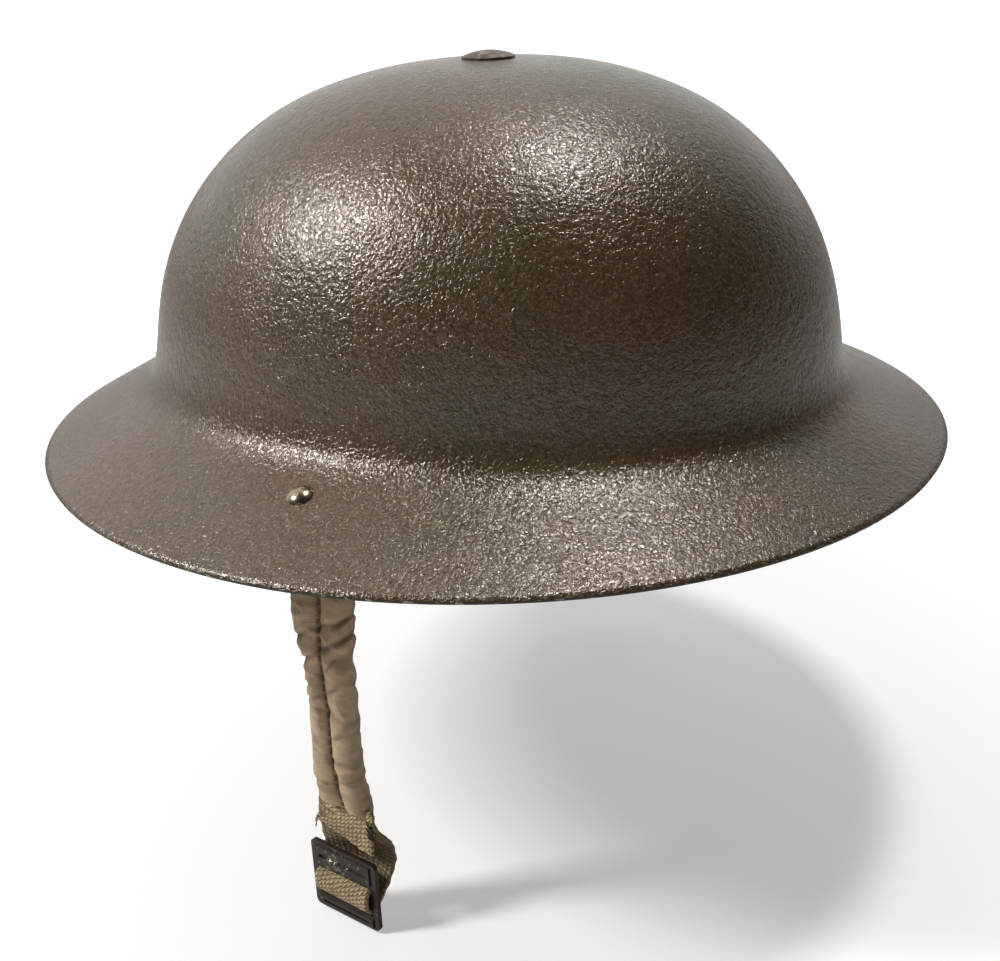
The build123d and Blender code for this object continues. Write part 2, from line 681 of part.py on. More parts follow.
with BuildPart() as tail_tip:
    with BuildSketch(Plane((tail_x, 0, tail_top - tip_length))):
        RectangleRounded(web_wall + 2 * (tip_wall + fit_gap), web_width + 2 * (tip_wall + fit_gap),
                         tip_wall)
    extrude(amount=tip_length + fit_gap + tip_wall)
    with BuildSketch(Plane((tail_x, 0, tail_top - tip_length))):
        Rectangle(web_wall + 2 * fit_gap, web_width + 2 * fit_gap)
    extrude(amount=tip_length + fit_gap, mode=Mode.SUBTRACT)
write(tail_tip.part, "tail_tip")
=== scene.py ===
import bmesh
import bpy
from math import asin, cos, pi, radians, sin, sqrt
from mathutils import Matrix, Vector, noise


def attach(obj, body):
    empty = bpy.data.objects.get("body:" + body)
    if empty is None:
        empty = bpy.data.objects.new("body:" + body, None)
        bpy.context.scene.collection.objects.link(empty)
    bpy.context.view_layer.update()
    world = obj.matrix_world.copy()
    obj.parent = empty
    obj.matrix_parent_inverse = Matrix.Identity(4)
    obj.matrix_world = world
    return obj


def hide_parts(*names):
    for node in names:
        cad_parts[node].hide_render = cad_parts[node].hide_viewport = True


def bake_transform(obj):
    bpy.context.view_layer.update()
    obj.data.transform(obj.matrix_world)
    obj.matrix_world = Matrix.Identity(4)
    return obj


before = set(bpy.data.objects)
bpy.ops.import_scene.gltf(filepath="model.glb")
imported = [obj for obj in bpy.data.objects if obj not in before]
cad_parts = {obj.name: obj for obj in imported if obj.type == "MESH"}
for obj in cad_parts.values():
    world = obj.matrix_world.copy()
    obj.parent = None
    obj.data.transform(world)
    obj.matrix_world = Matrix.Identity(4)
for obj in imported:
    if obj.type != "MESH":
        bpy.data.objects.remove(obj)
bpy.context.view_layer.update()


# Camera. It stands half a metre from the helmet, at its right side, a little to the front and
# above, with a slight roll. Its place and its lens come from the outlines of brim and crown.
camera_azimuth, camera_elevation, camera_distance = radians(-62.02), radians(19.298), 0.481
camera_turn, camera_tilt, camera_roll = radians(-0.285), radians(3.076), radians(2.507)


def looking_from(azimuth, elevation):
    """Direction from the helmet towards a viewer at an azimuth and an elevation."""
    return Vector((sin(azimuth) * cos(elevation), -cos(azimuth) * cos(elevation), sin(elevation)))


back = looking_from(camera_azimuth + camera_turn, camera_elevation + camera_tilt)
level = Vector((cos(camera_azimuth + camera_turn), sin(camera_azimuth + camera_turn), 0))
upright = back.cross(level)
across = cos(camera_roll) * level - sin(camera_roll) * upright
upward = sin(camera_roll) * level + cos(camera_roll) * upright
camera = bpy.data.objects.new("camera", bpy.data.cameras.new("camera"))
bpy.context.scene.collection.objects.link(camera)
camera.data.sensor_width, camera.data.lens = 36, 49.57
camera.data.clip_start, camera.data.clip_end = 0.02, 60
stand = looking_from(camera_azimuth, camera_elevation) * camera_distance
camera.matrix_world = Matrix((
    (across.x, upward.x, back.x, stand.x), (across.y, upward.y, back.y, stand.y),
    (across.z, upward.z, back.z, stand.z), (0, 0, 0, 1)))
bpy.context.scene.camera = camera
bpy.context.scene.view_settings.view_transform = "Standard"


# Studio. A matt white floor that runs out to plain white and is clear from below, a white wall
# behind the helmet's far side, a dark room and two soft lamps: at the back right and overhead.
floor_height, floor_half_width = -0.1368, 9
shade_inner, shade_outer, shade_glow = 0.18, 0.62, 0.36
wall_direction, room_light, wall_light = (0.75, 0.60, 0.25), 0.02, 0.9


def add_node(tree, kind, inputs=None, **settings):
    """A shader node; each input takes a plain value or another node's output."""
    made = tree.nodes.new("ShaderNode" + kind)
    for word, value in settings.items():
        setattr(made, word, value)
    for place, value in (inputs or {}).items():
        if isinstance(value, bpy.types.NodeSocket):
            tree.links.new(value, made.inputs[place])
        else:
            made.inputs[place].default_value = value
    return made


def figure(tree, operation, *values):
    """The output of one Math node."""
    return add_node(tree, "Math", dict(enumerate(values)), operation=operation).outputs[0]


def step_up(tree, value, low, high, start=0.0, end=1.0):
    """A smooth step of a value from start to end."""
    return add_node(tree, "MapRange", {0: value, 1: low, 2: high, 3: start, 4: end},
                    interpolation_type="SMOOTHSTEP").outputs[0]


def soft_lamp(name, place, aim, width, height, power, tint):
    """A rectangular area lamp at a place, turned to what it lights."""
    lamp = bpy.data.objects.new(name, bpy.data.lights.new(name, "AREA"))
    lamp.data.shape, lamp.data.size, lamp.data.size_y = "RECTANGLE", width, height
    lamp.data.energy, lamp.data.color = power, tint
    bpy.context.scene.collection.objects.link(lamp)
    lamp.location = place
    lamp.rotation_euler = (Vector(aim) - Vector(place)).to_track_quat("-Z", "Y").to_euler()


bed = bmesh.new()
bmesh.ops.create_grid(bed, x_segments=8, y_segments=8, size=floor_half_width)
bmesh.ops.translate(bed, vec=(0, 0, floor_height), verts=bed.verts)
floor_mesh = bpy.data.meshes.new("floor")
bed.to_mesh(floor_mesh)
bed.free()
floor = bpy.data.objects.new("floor", floor_mesh)
bpy.context.scene.collection.objects.link(floor)
white = bpy.data.materials.new("white_floor")
white.use_nodes = True
tree = white.node_tree
tree.nodes.remove(tree.nodes["Principled BSDF"])
place = add_node(tree, "TexCoord").outputs["Object"]
reach = add_node(tree, "VectorMath", {0: place}, operation="LENGTH").outputs["Value"]
glow = step_up(tree, reach, shade_inner, shade_outer, start=shade_glow, end=1.0)
matt = add_node(tree, "BsdfDiffuse", {"Color": (0.8, 0.8, 0.8, 1)}).outputs[0]
light = add_node(tree, "Emission", {"Color": (1, 1, 1, 1), "Strength": glow}).outputs[0]
lit = add_node(tree, "AddShader", {0: matt, 1: light}).outputs[0]
rays = add_node(tree, "LightPath").outputs
seen = figure(tree, "MAXIMUM", rays["Is Camera Ray"], rays["Is Transmission Ray"])
mixed = add_node(tree, "MixShader", {0: seen, 1: matt, 2: lit}).outputs[0]
from_below = add_node(tree, "NewGeometry").outputs["Backfacing"]
hidden = figure(tree, "MULTIPLY", from_below, rays["Is Camera Ray"])
clear = add_node(tree, "BsdfTransparent").outputs[0]
one_sided = add_node(tree, "MixShader", {0: hidden, 1: mixed, 2: clear}).outputs[0]
tree.links.new(one_sided, tree.nodes["Material Output"].inputs["Surface"])
floor.data.materials.append(white)

world = bpy.data.worlds.new("surround")
bpy.context.scene.world = world
world.use_nodes = True
tree = world.node_tree
rays = add_node(tree, "LightPath").outputs
towards = add_node(tree, "TexCoord").outputs["Generated"]
facing = add_node(tree, "VectorMath", {0: towards, 1: wall_direction},
                  operation="DOT_PRODUCT").outputs["Value"]
surround = step_up(tree, facing, 0.1, 0.9, start=room_light, end=wall_light)
strength = figure(tree, "MAXIMUM", rays["Is Camera Ray"], surround)
tree.links.new(strength, tree.nodes["Background"].inputs["Strength"])
tree.nodes["Background"].inputs["Color"].default_value = (1, 1, 1, 1)

soft_lamp("window_lamp", place=(-0.633, 0.745, 0.853), aim=(-0.08, 0, 0.08), width=0.20, height=0.30,
          power=13.8, tint=(1, 0.975, 0.94))
soft_lamp("overhead_lamp", place=(0.12, -0.195, 1.15), aim=(-0.05, -0.05, 0.1), width=0.18, height=0.18,
          power=7.5, tint=(1, 0.98, 0.965))


# Shell. One sheet of hard steel, 1 mm thick, pressed cold into a dome and a plain brim, trimmed
# to an oval and left with a raw edge. It wears thick khaki paint with sawdust thrown into it.
shell_wall, shell_height, dome_foot, dome_lean = 0.001, 0.117, 0.010, 0.005
dome_half_width, dome_half_length = 0.0995, 0.1186
brim_half_width, brim_half_length = 0.146, 0.1525
width_fullness, length_fullness = 2.52, 2.36
flare_height, flare_end, top_flat = 0.030, 0.042, 0.011
# Going up from the brim's edge: height in flare heights, share of the brim's width that is left.
flare_stations = [(-0.2, 1.333), (0, 1), (0.1, 0.833), (0.2, 0.667), (0.3, 0.5), (0.4, 0.335), (0.5, 0.19),
                  (0.62, 0.085), (0.78, 0.03), (1, 0.005), (1.4, 0), (1.8, 0)]
flare_steps, dome_steps, round_steps = 34, 44, 176
first_dome_ring, dome_sweep, ring_crowding = 12.2, 69.5, 0.9
dent_depth, dent_low, dent_high = 0.0005, 0.034, 0.114


def smooth_between(stations, at):
    """The value at a place on a smooth line through (place, value) stations."""
    last = len(stations) - 1
    here = max([k for k in range(last) if stations[k][0] <= at] or [0])

    def slope(k):
        (x0, y0), (x1, y1) = stations[max(k - 1, 0)], stations[min(k + 1, last)]
        return (y1 - y0) / (x1 - x0)

    (x0, y0), (x1, y1) = stations[here], stations[here + 1]
    run = x1 - x0
    t = (at - x0) / run
    return ((2 * t**3 - 3 * t**2 + 1) * y0 + (t**3 - 2 * t**2 + t) * run * slope(here)
            + (3 * t**2 - 2 * t**3) * y1 + (t**3 - t**2) * run * slope(here + 1))


def dome_share(height):
    """How far up the dome a height is, from 0 at its foot to 1 at its top."""
    return max(height - dome_foot, 0) / (shell_height - dome_foot)


def steel_at(height):
    """Half width and half length of the shell's outer face at a height."""
    up = dome_share(height)
    reach = max(smooth_between(flare_stations, height / flare_height), 0) if height < flare_end else 0
    half_width = dome_half_width * (1 - up**width_fullness) ** (1 / width_fullness)
    half_length = dome_half_length * (1 - up**length_fullness) ** (1 / length_fullness)
    return (half_width + reach * (brim_half_width - dome_half_width),
            half_length + reach * (brim_half_length - dome_half_length))


def make_piece(name, sculpt, body, slot, *nodes):
    """A finished bmesh as an object that rides on a body and stands for CAD nodes."""
    mesh = bpy.data.meshes.new(name)
    sculpt.normal_update()
    for face in sculpt.faces:
        face.smooth = True
    sculpt.to_mesh(mesh)
    sculpt.free()
    piece = bpy.data.objects.new(name, mesh)
    bpy.context.scene.collection.objects.link(piece)
    if body:
        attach(piece, body)
    if nodes:
        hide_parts(*nodes)
    return piece


# The steel's rings from the brim's edge to the crown: half width, half length and height.
flare_rings = [flare_height * k / flare_steps for k in range(flare_steps)]
dome_angles = [radians(first_dome_ring + dome_sweep * k / dome_steps) for k in range(dome_steps + 1)]
dome_rings = [dome_foot + (shell_height - dome_foot) * sin(angle) ** ring_crowding for angle in dome_angles]
line = [(*steel_at(height), height) for height in flare_rings + dome_rings]
line += [(half, half, shell_height) for half in (top_flat, top_flat / 2, 0)]
pressing = bmesh.new()
rim = [pressing.verts.new((half_width, 0, height)) for half_width, _, height in line]
spans = [pressing.edges.new(pair) for pair in zip(rim, rim[1:])]
bmesh.ops.spin(pressing, geom=rim + spans, axis=(0, 0, 1), cent=(0, 0, 0), dvec=(0, 0, 0),
               angle=2 * pi, steps=round_steps, use_merge=True)
bmesh.ops.remove_doubles(pressing, verts=pressing.verts, dist=0.000002)
for vert in pressing.verts:
    reach = sqrt(vert.co.x**2 + vert.co.y**2)
    half_width, half_length, height = min(
        line, key=lambda ring: abs(ring[2] - vert.co.z) + abs(ring[0] - reach))
    if half_width:
        vert.co.y *= half_length / half_width
    vert.co.y -= dome_lean * dome_share(height)
    out = Vector((vert.co.x, vert.co.y, 0.4 * max(height - flare_height, 0))).normalized()
    dent = dent_depth * (noise.noise(vert.co * 21 + Vector((3, 1, 7))) + noise.noise(vert.co * 9))
    fade = min(max((height - dent_low) / 0.02, 0), 1) * min(max((dent_high - height) / 0.006, 0), 1)
    vert.co += out * dent * fade
bmesh.ops.recalc_face_normals(pressing, faces=pressing.faces)
if sum(face.normal.z for face in pressing.faces) < 0:
    bmesh.ops.reverse_faces(pressing, faces=pressing.faces)
shell = make_piece("shell_steel", pressing, "helmet", "shell_paint", "shell")
wall = shell.modifiers.new("wall", "SOLIDIFY")
wall.thickness, wall.offset, wall.use_even_offset = shell_wall, -1, True
wall.material_offset, wall.material_offset_rim = 1, 2


def new_effect(name, takes, gives):
    """An empty group of shader nodes, with named sockets: its tree, what comes in, what goes out."""
    tree = bpy.data.node_groups.new(name, "ShaderNodeTree")
    for word, kind, value in takes:
        socket = tree.interface.new_socket(word, in_out="INPUT", socket_type="NodeSocket" + kind)
        if value is not None:
            socket.default_value = value
    for word, kind in gives:
        tree.interface.new_socket(word, in_out="OUTPUT", socket_type="NodeSocket" + kind)
    return tree, tree.nodes.new("NodeGroupInput").outputs, tree.nodes.new("NodeGroupOutput").inputs


def use_effect(tree, effect, inputs):
    """An effect placed in a material, with its own values."""
    return add_node(tree, "Group", inputs, node_tree=effect).outputs


def blend_colours(tree, share, low, high):
    """Two colours mixed by a share."""
    low, high = [(*c, 1) if isinstance(c, tuple) and len(c) == 3 else c for c in (low, high)]
    return add_node(tree, "Mix", {0: share, 6: low, 7: high}, data_type="RGBA").outputs[2]


def wash(tree, base, colour, mask, most):
    """A base with a colour laid over it where a mask is, up to a share."""
    return blend_colours(tree, figure(tree, "MULTIPLY", mask, most), base, colour)


# Stains: slow patches of one tint in another. Specks: small chips and grains with hard edges.
stains, taken, given = new_effect(
    "stains", [("Place", "Vector", None), ("Scale", "Float", 10.0), ("Contrast", "Float", 0.2)],
    [("Mask", "Float")])
cloud = add_node(stains, "TexNoise", {"Vector": taken["Place"], "Scale": taken["Scale"], "Detail": 4.0,
                                      "Roughness": 0.6, "Distortion": 0.3}).outputs["Fac"]
low = figure(stains, "SUBTRACT", 0.5, taken["Contrast"])
high = figure(stains, "ADD", 0.5, taken["Contrast"])
stains.links.new(step_up(stains, cloud, low, high), given["Mask"])

specks, taken, given = new_effect(
    "specks", [("Place", "Vector", None), ("Scale", "Float", 600.0), ("Amount", "Float", 0.3)],
    [("Mask", "Float")])
grit = add_node(specks, "TexNoise", {"Vector": taken["Place"], "Scale": taken["Scale"], "Detail": 2.0,
                                     "Roughness": 0.5}).outputs["Fac"]
edge = figure(specks, "SUBTRACT", 0.85, figure(specks, "MULTIPLY", taken["Amount"], 0.7))
specks.links.new(step_up(specks, grit, edge, figure(specks, "ADD", edge, 0.06)), given["Mask"])

# Sand: the relief of paint over sawdust, lumps a millimetre wide that run together like worms.
sand, taken, given = new_effect(
    "sand", [("Place", "Vector", None), ("Scale", "Float", 620.0)],
    [("Height", "Float"), ("Cavity", "Float")])
lumps = add_node(sand, "TexNoise", {"Vector": taken["Place"], "Scale": taken["Scale"], "Detail": 2.5,
                                    "Roughness": 0.55, "Distortion": 0.7}).outputs["Fac"]
broad = add_node(sand, "TexNoise", {"Vector": taken["Place"],
                                    "Scale": figure(sand, "MULTIPLY", taken["Scale"], 0.42),
                                    "Detail": 1.5}).outputs["Fac"]
height = figure(sand, "ADD", figure(sand, "MULTIPLY", lumps, 0.65), figure(sand, "MULTIPLY", broad, 0.5))
sand.links.new(height, given["Height"])
sand.links.new(step_up(sand, height, 0.42, 0.62, start=1.0, end=0.0), given["Cavity"])


def stain_mask(tree, place, scale, contrast):
    """Stains at a place, with their own scale and contrast."""
    return use_effect(tree, stains, {"Place": place, "Scale": scale, "Contrast": contrast})["Mask"]


def speck_mask(tree, place, scale, amount):
    """Specks at a place, with their own scale and amount."""
    return use_effect(tree, specks, {"Place": place, "Scale": scale, "Amount": amount})["Mask"]


def new_finish(name, roughness, metallic=0.0):
    """A material: its node tree, its Principled shader and its Object coordinates."""
    finish = bpy.data.materials.new(name)
    finish.use_nodes = True
    tree = finish.node_tree
    shader = tree.nodes["Principled BSDF"]
    shader.inputs["Roughness"].default_value = roughness
    shader.inputs["Metallic"].default_value = metallic
    return finish, tree, shader, add_node(tree, "TexCoord").outputs["Object"]


def colour_with(tree, shader, colour, roughness=None):
    """Feed a shader its colour and, where one is given, its roughness."""
    tree.links.new(colour, shader.inputs["Base Color"])
    if roughness:
        tree.links.new(roughness, shader.inputs["Roughness"])


def raise_relief(tree, shader, height, depth):
    """Bump from a height, where a height of 1 stands out by a depth in metres."""
    bump = add_node(tree, "Bump", {"Height": height, "Distance": depth, "Strength": 1.0})
    tree.links.new(bump.outputs[0], shader.inputs["Normal"])


khaki_green, khaki_brown, rust_brown = (0.052, 0.046, 0.019), (0.074, 0.045, 0.021), (0.094, 0.042, 0.022)
hollow_shade, worn_top, rubbed_rim = (0.021, 0.015, 0.007), (0.14, 0.108, 0.058), (0.16, 0.135, 0.095)


def khaki_paint(name, relief, sheen_share, brown):
    """Rough khaki paint, stained green, brown and rust, with painted shade in the hollows of its lumps and
    light worn tops on its lumps.
    """
    finish, tree, shader, place = new_finish(name, roughness=0.24)
    shader.inputs["Specular IOR Level"].default_value = 1.0
    shader.inputs["Specular Tint"].default_value = (1, 0.95, 0.89, 1)
    lumpy = use_effect(tree, sand, {"Place": place, "Scale": 950.0})
    base = blend_colours(tree, stain_mask(tree, place, scale=8.0, contrast=0.18), khaki_green, khaki_brown)
    base = wash(tree, base, rust_brown, stain_mask(tree, place, scale=24.0, contrast=0.16), brown)
    # Painted shade: the hollows of the sand relief are darkened, as if in shadow.
    base = wash(tree, base, hollow_shade, lumpy["Cavity"], most=0.5)
    base = wash(tree, base, worn_top, speck_mask(tree, place, scale=840.0, amount=0.42), most=0.4)
    oval = add_node(tree, "Mapping", {"Vector": place,
                                      "Scale": (1 / brim_half_width, 1 / brim_half_length, 0)})
    out = add_node(tree, "VectorMath", {0: oval.outputs[0]}, operation="LENGTH").outputs["Value"]
    near_edge = step_up(tree, out, 0.992, 0.999)
    base = wash(tree, base, rubbed_rim, near_edge, speck_mask(tree, place, scale=420.0, amount=0.42))
    gloss = stain_mask(tree, place, scale=60.0, contrast=0.25)
    colour_with(tree, shader, base, figure(tree, "MULTIPLY_ADD", gloss, 0.08, 0.165 / sheen_share))
    raise_relief(tree, shader, lumpy["Height"], relief)
    return finish


outer_paint = khaki_paint("shell_paint_outside", relief=0.0006, sheen_share=1.0, brown=0.55)
inner_paint = khaki_paint("shell_paint_inside", relief=0.0004, sheen_share=0.6, brown=0.75)
raw_edge, tree, shader, place = new_finish("shell_raw_edge", roughness=0.42, metallic=0.7)
chips = speck_mask(tree, place, scale=260.0, amount=0.38)
colour_with(tree, shader, blend_colours(tree, chips, (0.045, 0.036, 0.026), (0.24, 0.22, 0.18)))
raise_relief(tree, shader, chips, depth=0.0002)
for finish in (outer_paint, inner_paint, raw_edge):
    shell.data.materials.append(finish)


# Crown fastening. A low brass screw head, painted with the shell and rubbed bare on top, goes
# through a rubber washer, both liner straps and a steel washer into a steel nut.
def dress(node, finish):
    """Give a CAD node a finish of its own on all its slots."""
    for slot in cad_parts[node].material_slots:
        slot.material = finish


def worn_metal(name, metal, paint, amount, roughness, fineness, film_share=0.4, rubbed_at=None):
    """Metal under paint or tarnish. The amount says how much metal shows, and more of it shows
    round a place where it is rubbed."""
    finish, tree, shader, place = new_finish(name, roughness, 0.85)
    if rubbed_at:
        apart = add_node(tree, "VectorMath", {0: place, 1: rubbed_at},
                         operation="DISTANCE").outputs["Value"]
        amount = step_up(tree, apart, 0.0015, 0.0095, start=0.52, end=amount)
    bare = speck_mask(tree, place, fineness, amount)
    film = stain_mask(tree, place, scale=160.0, contrast=0.3)
    filmed = tuple((1 - film_share) * c + film_share * m for c, m in zip(paint, metal))
    tarnish = blend_colours(tree, film, paint, filmed)
    colour_with(tree, shader, blend_colours(tree, bare, tarnish, metal),
                figure(tree, "MULTIPLY_ADD", bare, -0.12, roughness))
    tree.links.new(figure(tree, "MULTIPLY_ADD", bare, 0.5, 0.5), shader.inputs["Metallic"])
    raise_relief(tree, shader, figure(tree, "ADD", bare, film), depth=0.00008)
    return finish


dress("crown_screw", worn_metal("screw_brass", metal=(0.26, 0.20, 0.14), paint=(0.060, 0.044, 0.028),
                                amount=0.45, roughness=0.42, fineness=320.0))
plain_steel = worn_metal("bright_steel", metal=(0.55, 0.54, 0.52), paint=(0.30, 0.28, 0.25),
                         amount=0.7, roughness=0.36, fineness=700.0)
for node in ("plate_washer", "crown_nut", "strap_rivets", "buffer_rivets"):
    dress(node, plain_steel)


def soft_rubber(name, colour, bloom):
    """Moulded rubber with a dusty bloom and fine pores."""
    finish, tree, shader, place = new_finish(name, roughness=0.62)
    dust = stain_mask(tree, place, scale=90.0, contrast=0.25)
    pores = speck_mask(tree, place, scale=1500.0, amount=0.4)
    colour_with(tree, shader, blend_colours(tree, dust, colour, bloom),
                figure(tree, "MULTIPLY_ADD", dust, 0.2, 0.55))
    raise_relief(tree, shader, pores, depth=-0.00012)
    return finish


black_rubber = soft_rubber("black_rubber", colour=(0.022, 0.021, 0.020), bloom=(0.052, 0.050, 0.046))
for node in ("crown_washer", "rubber_buffers"):
    dress(node, black_rubber)
dress("crown_pad", soft_rubber("grey_rubber", colour=(0.055, 0.053, 0.048), bloom=(0.10, 0.095, 0.085)))


# Liner frame. A hoop and two crossed straps of vulcanised fibre, cut from sheet, bent hot and
# riveted together. They are glossy red-brown, with faint mottling and scuffed faces.
fibre, tree, shader, place = new_finish("vulcanised_fibre", roughness=0.4)
veins = stain_mask(tree, place, scale=45.0, contrast=0.3)
scuffs = speck_mask(tree, place, scale=220.0, amount=0.35)
grain = use_effect(tree, sand, {"Place": place, "Scale": 900.0})["Height"]
tint = blend_colours(tree, veins, (0.085, 0.034, 0.018), (0.150, 0.066, 0.034))
colour_with(tree, shader, wash(tree, tint, (0.26, 0.15, 0.09), scuffs, most=0.35),
            figure(tree, "MULTIPLY_ADD", scuffs, 0.25, 0.36))
raise_relief(tree, shader, grain, depth=0.0001)
for node in ("liner_hoop", "long_strap", "cross_strap"):
    dress(node, fibre)


# Headband. Black grained leathercloth, turned under the hoop at its foot and doubled at the rim,
# with a strip of grey felt behind it as padding.
ring_y = -0.001168
felt_profile = [(-0.0015, 0.0172), (-0.0015, 0.0408)]
headband_profile = [(0.0076, 0.0152), (0.001, 0.0152), (-0.0004, 0.0156), (-0.0008, 0.017),
                    (-0.0008, 0.0455), (-0.0011, 0.0468), (-0.0008, 0.0478)]


def cloth_grid(columns, rows, place, size, closed=False):
    """A grid of cloth: place(u, v) gives each point, u across and v along; its UVs are in metres."""
    sculpt = bmesh.new()
    bmesh.ops.create_grid(sculpt, x_segments=columns, y_segments=rows, size=0.5)
    layer = sculpt.loops.layers.uv.new("cloth")
    for face in sculpt.faces:
        for loop in face.loops:
            u, v = loop.vert.co.x + 0.5, loop.vert.co.y + 0.5
            loop[layer].uv = (u * size[0], v * size[1])
    for vert in sculpt.verts:
        vert.co = place(vert.co.x + 0.5, vert.co.y + 0.5)
    if closed:
        bmesh.ops.remove_doubles(sculpt, verts=sculpt.verts, dist=0.000001)
    bmesh.ops.recalc_face_normals(sculpt, faces=sculpt.faces)
    return sculpt


def line_length(points):
    """The length of a line through points."""
    return sum((Vector(b) - Vector(a)).length for a, b in zip(points, points[1:]))


def along(points, share):
    """The point at a share of a line's length."""
    left = share * line_length(points)
    for a, b in zip(points, points[1:]):
        length = (Vector(b) - Vector(a)).length
        if left <= length:
            return Vector(a).lerp(Vector(b), left / length)
        left -= length
    return Vector(points[-1])


def thicken(piece, thickness, finish):
    """Give a piece of cloth its thickness, half on each side, and its finish."""
    solid = piece.modifiers.new("wall", "SOLIDIFY")
    solid.thickness, solid.offset = thickness, 0
    piece.data.materials.append(finish)


def on_oval(half_width, half_length, angle):
    """A point of one of the liner's ovals, at height 0, and the direction out of the head there."""
    away = Vector((cos(angle) / half_width, sin(angle) / half_length, 0)).normalized()
    return Vector((half_width * cos(angle), ring_y + half_length * sin(angle), 0)), away


def round_the_head(name, profile, half_width, half_length, thickness, slot, finish, node, rows):
    """A band that follows the liner's oval: profile gives (outward, height) points from foot to rim."""
    girth = pi * (half_width + half_length)
    deep = line_length(profile)

    def place(u, v):
        out, height = along(profile, v)
        angle = 2 * pi * u
        point, away = on_oval(half_width, half_length, angle)
        slack = 0.0002 * noise.noise(Vector((6 * cos(angle), 6 * sin(angle), 90 * height)))
        return Vector((point.x, point.y, height)) + away * (out + slack)

    cloth = cloth_grid(150, rows, place, (girth, deep), closed=True)
    band = make_piece(name, cloth, "helmet", slot, node)
    thicken(band, thickness, finish)


felt, tree, shader, place = new_finish("grey_felt", roughness=0.95)
fuzz = speck_mask(tree, place, scale=1300.0, amount=0.6)
tufts = stain_mask(tree, place, scale=240.0, contrast=0.3)
tint = blend_colours(tree, tufts, (0.16, 0.15, 0.13), (0.27, 0.25, 0.22))
colour_with(tree, shader, wash(tree, tint, (0.42, 0.39, 0.34), fuzz, most=0.4))
shader.inputs["Sheen Weight"].default_value = 0.4
raise_relief(tree, shader, figure(tree, "ADD", fuzz, tufts), depth=0.0004)
round_the_head("felt_padding", felt_profile, half_width=0.08462, half_length=0.10306, thickness=0.0026,
               slot="felt", finish=felt, node="felt_band", rows=12)

leathercloth, tree, shader, place = new_finish("leathercloth", roughness=0.45)
cells = add_node(tree, "TexVoronoi", {"Vector": place, "Scale": 900.0},
                 feature="DISTANCE_TO_EDGE").outputs[0]
grain = step_up(tree, cells, 0.0, 0.22)
wear = stain_mask(tree, place, scale=55.0, contrast=0.2)
tint = blend_colours(tree, wear, (0.018, 0.016, 0.014), (0.046, 0.038, 0.030))
colour_with(tree, shader, wash(tree, tint, (0.07, 0.058, 0.045), grain, most=0.4),
            figure(tree, "MULTIPLY_ADD", wear, 0.2, 0.38))
raise_relief(tree, shader, grain, depth=0.00016)
round_the_head("headband_cloth", headband_profile, half_width=0.08157, half_length=0.10001,
               thickness=0.0013, slot="leathercloth", finish=leathercloth, node="headband", rows=30)


# Crown lining. Eight tongues of the same leathercloth, sewn inside the headband, lean in over the
# head. Each tip is turned over a braided cotton lace that draws them together.
tongue_count, tongue_foot, tongue_rise, lean_angle = 8, 0.040, 0.046, radians(82)
foot_half_width, foot_half_length = 0.07952, 0.09796
mouth_half_width, mouth_half_length = 0.042, 0.056
tongue_cloth, tongue_wall = (0.068, 0.062), 0.0011
half_gap, notch_growth, notch_from = 0.0006, 0.013, 0.0865
tongue_bulge, tongue_inset, tongue_drop, tongue_ruck = 0.0012, 0.0009, 0.0006, 0.0007
tip_start, tip_curl, tip_radius = 0.86, radians(230), 0.0021


def tongue_line(share):
    """Half width, half length and height of the lining at a share of its rise."""
    angle = lean_angle * share
    inward = 1 - cos(angle)
    return (foot_half_width - (foot_half_width - mouth_half_width) * inward,
            foot_half_length - (foot_half_length - mouth_half_length) * inward,
            tongue_foot + tongue_rise * sin(angle))


def tongue_point(k, u, v):
    """A point of one tongue, which narrows as it rises and ends in a turned tip."""
    share = min(v / tip_start, 1)
    half_width, half_length, height = tongue_line(share)
    mean = sqrt(half_width * half_length)
    notch = notch_growth * max(1 - mean / notch_from, 0) + half_gap
    angle = 2 * pi * k / tongue_count + (pi / tongue_count - asin(notch / mean)) * (2 * u - 1)
    bulge = tongue_bulge * sin(pi * u) * sin(pi * share) - tongue_inset
    ruck = tongue_ruck * share * noise.noise(Vector((9 * u, 3 * k, 2 * v)))
    point, away = on_oval(half_width, half_length, angle)
    point.z = height - tongue_drop
    point += away * (bulge * 0.5 + ruck) + Vector((0, 0, bulge * 0.3 + ruck))
    if v > tip_start:
        curl = (v - tip_start) / (1 - tip_start) * tip_curl
        point += away * (-tip_radius * sin(curl)) + Vector((0, 0, -tip_radius * (1 - cos(curl))))
    return point


tongues = bmesh.new()
for k in range(tongue_count):
    one = cloth_grid(12, 22, lambda u, v: tongue_point(k, u, v), tongue_cloth)
    spare = bpy.data.meshes.new("tongue")
    one.to_mesh(spare)
    one.free()
    tongues.from_mesh(spare)
    bpy.data.meshes.remove(spare)
bmesh.ops.recalc_face_normals(tongues, faces=tongues.faces)
tongue_piece = make_piece("lining_cloth", tongues, "helmet", "leathercloth", "lining_tongues")
thicken(tongue_piece, tongue_wall, leathercloth)

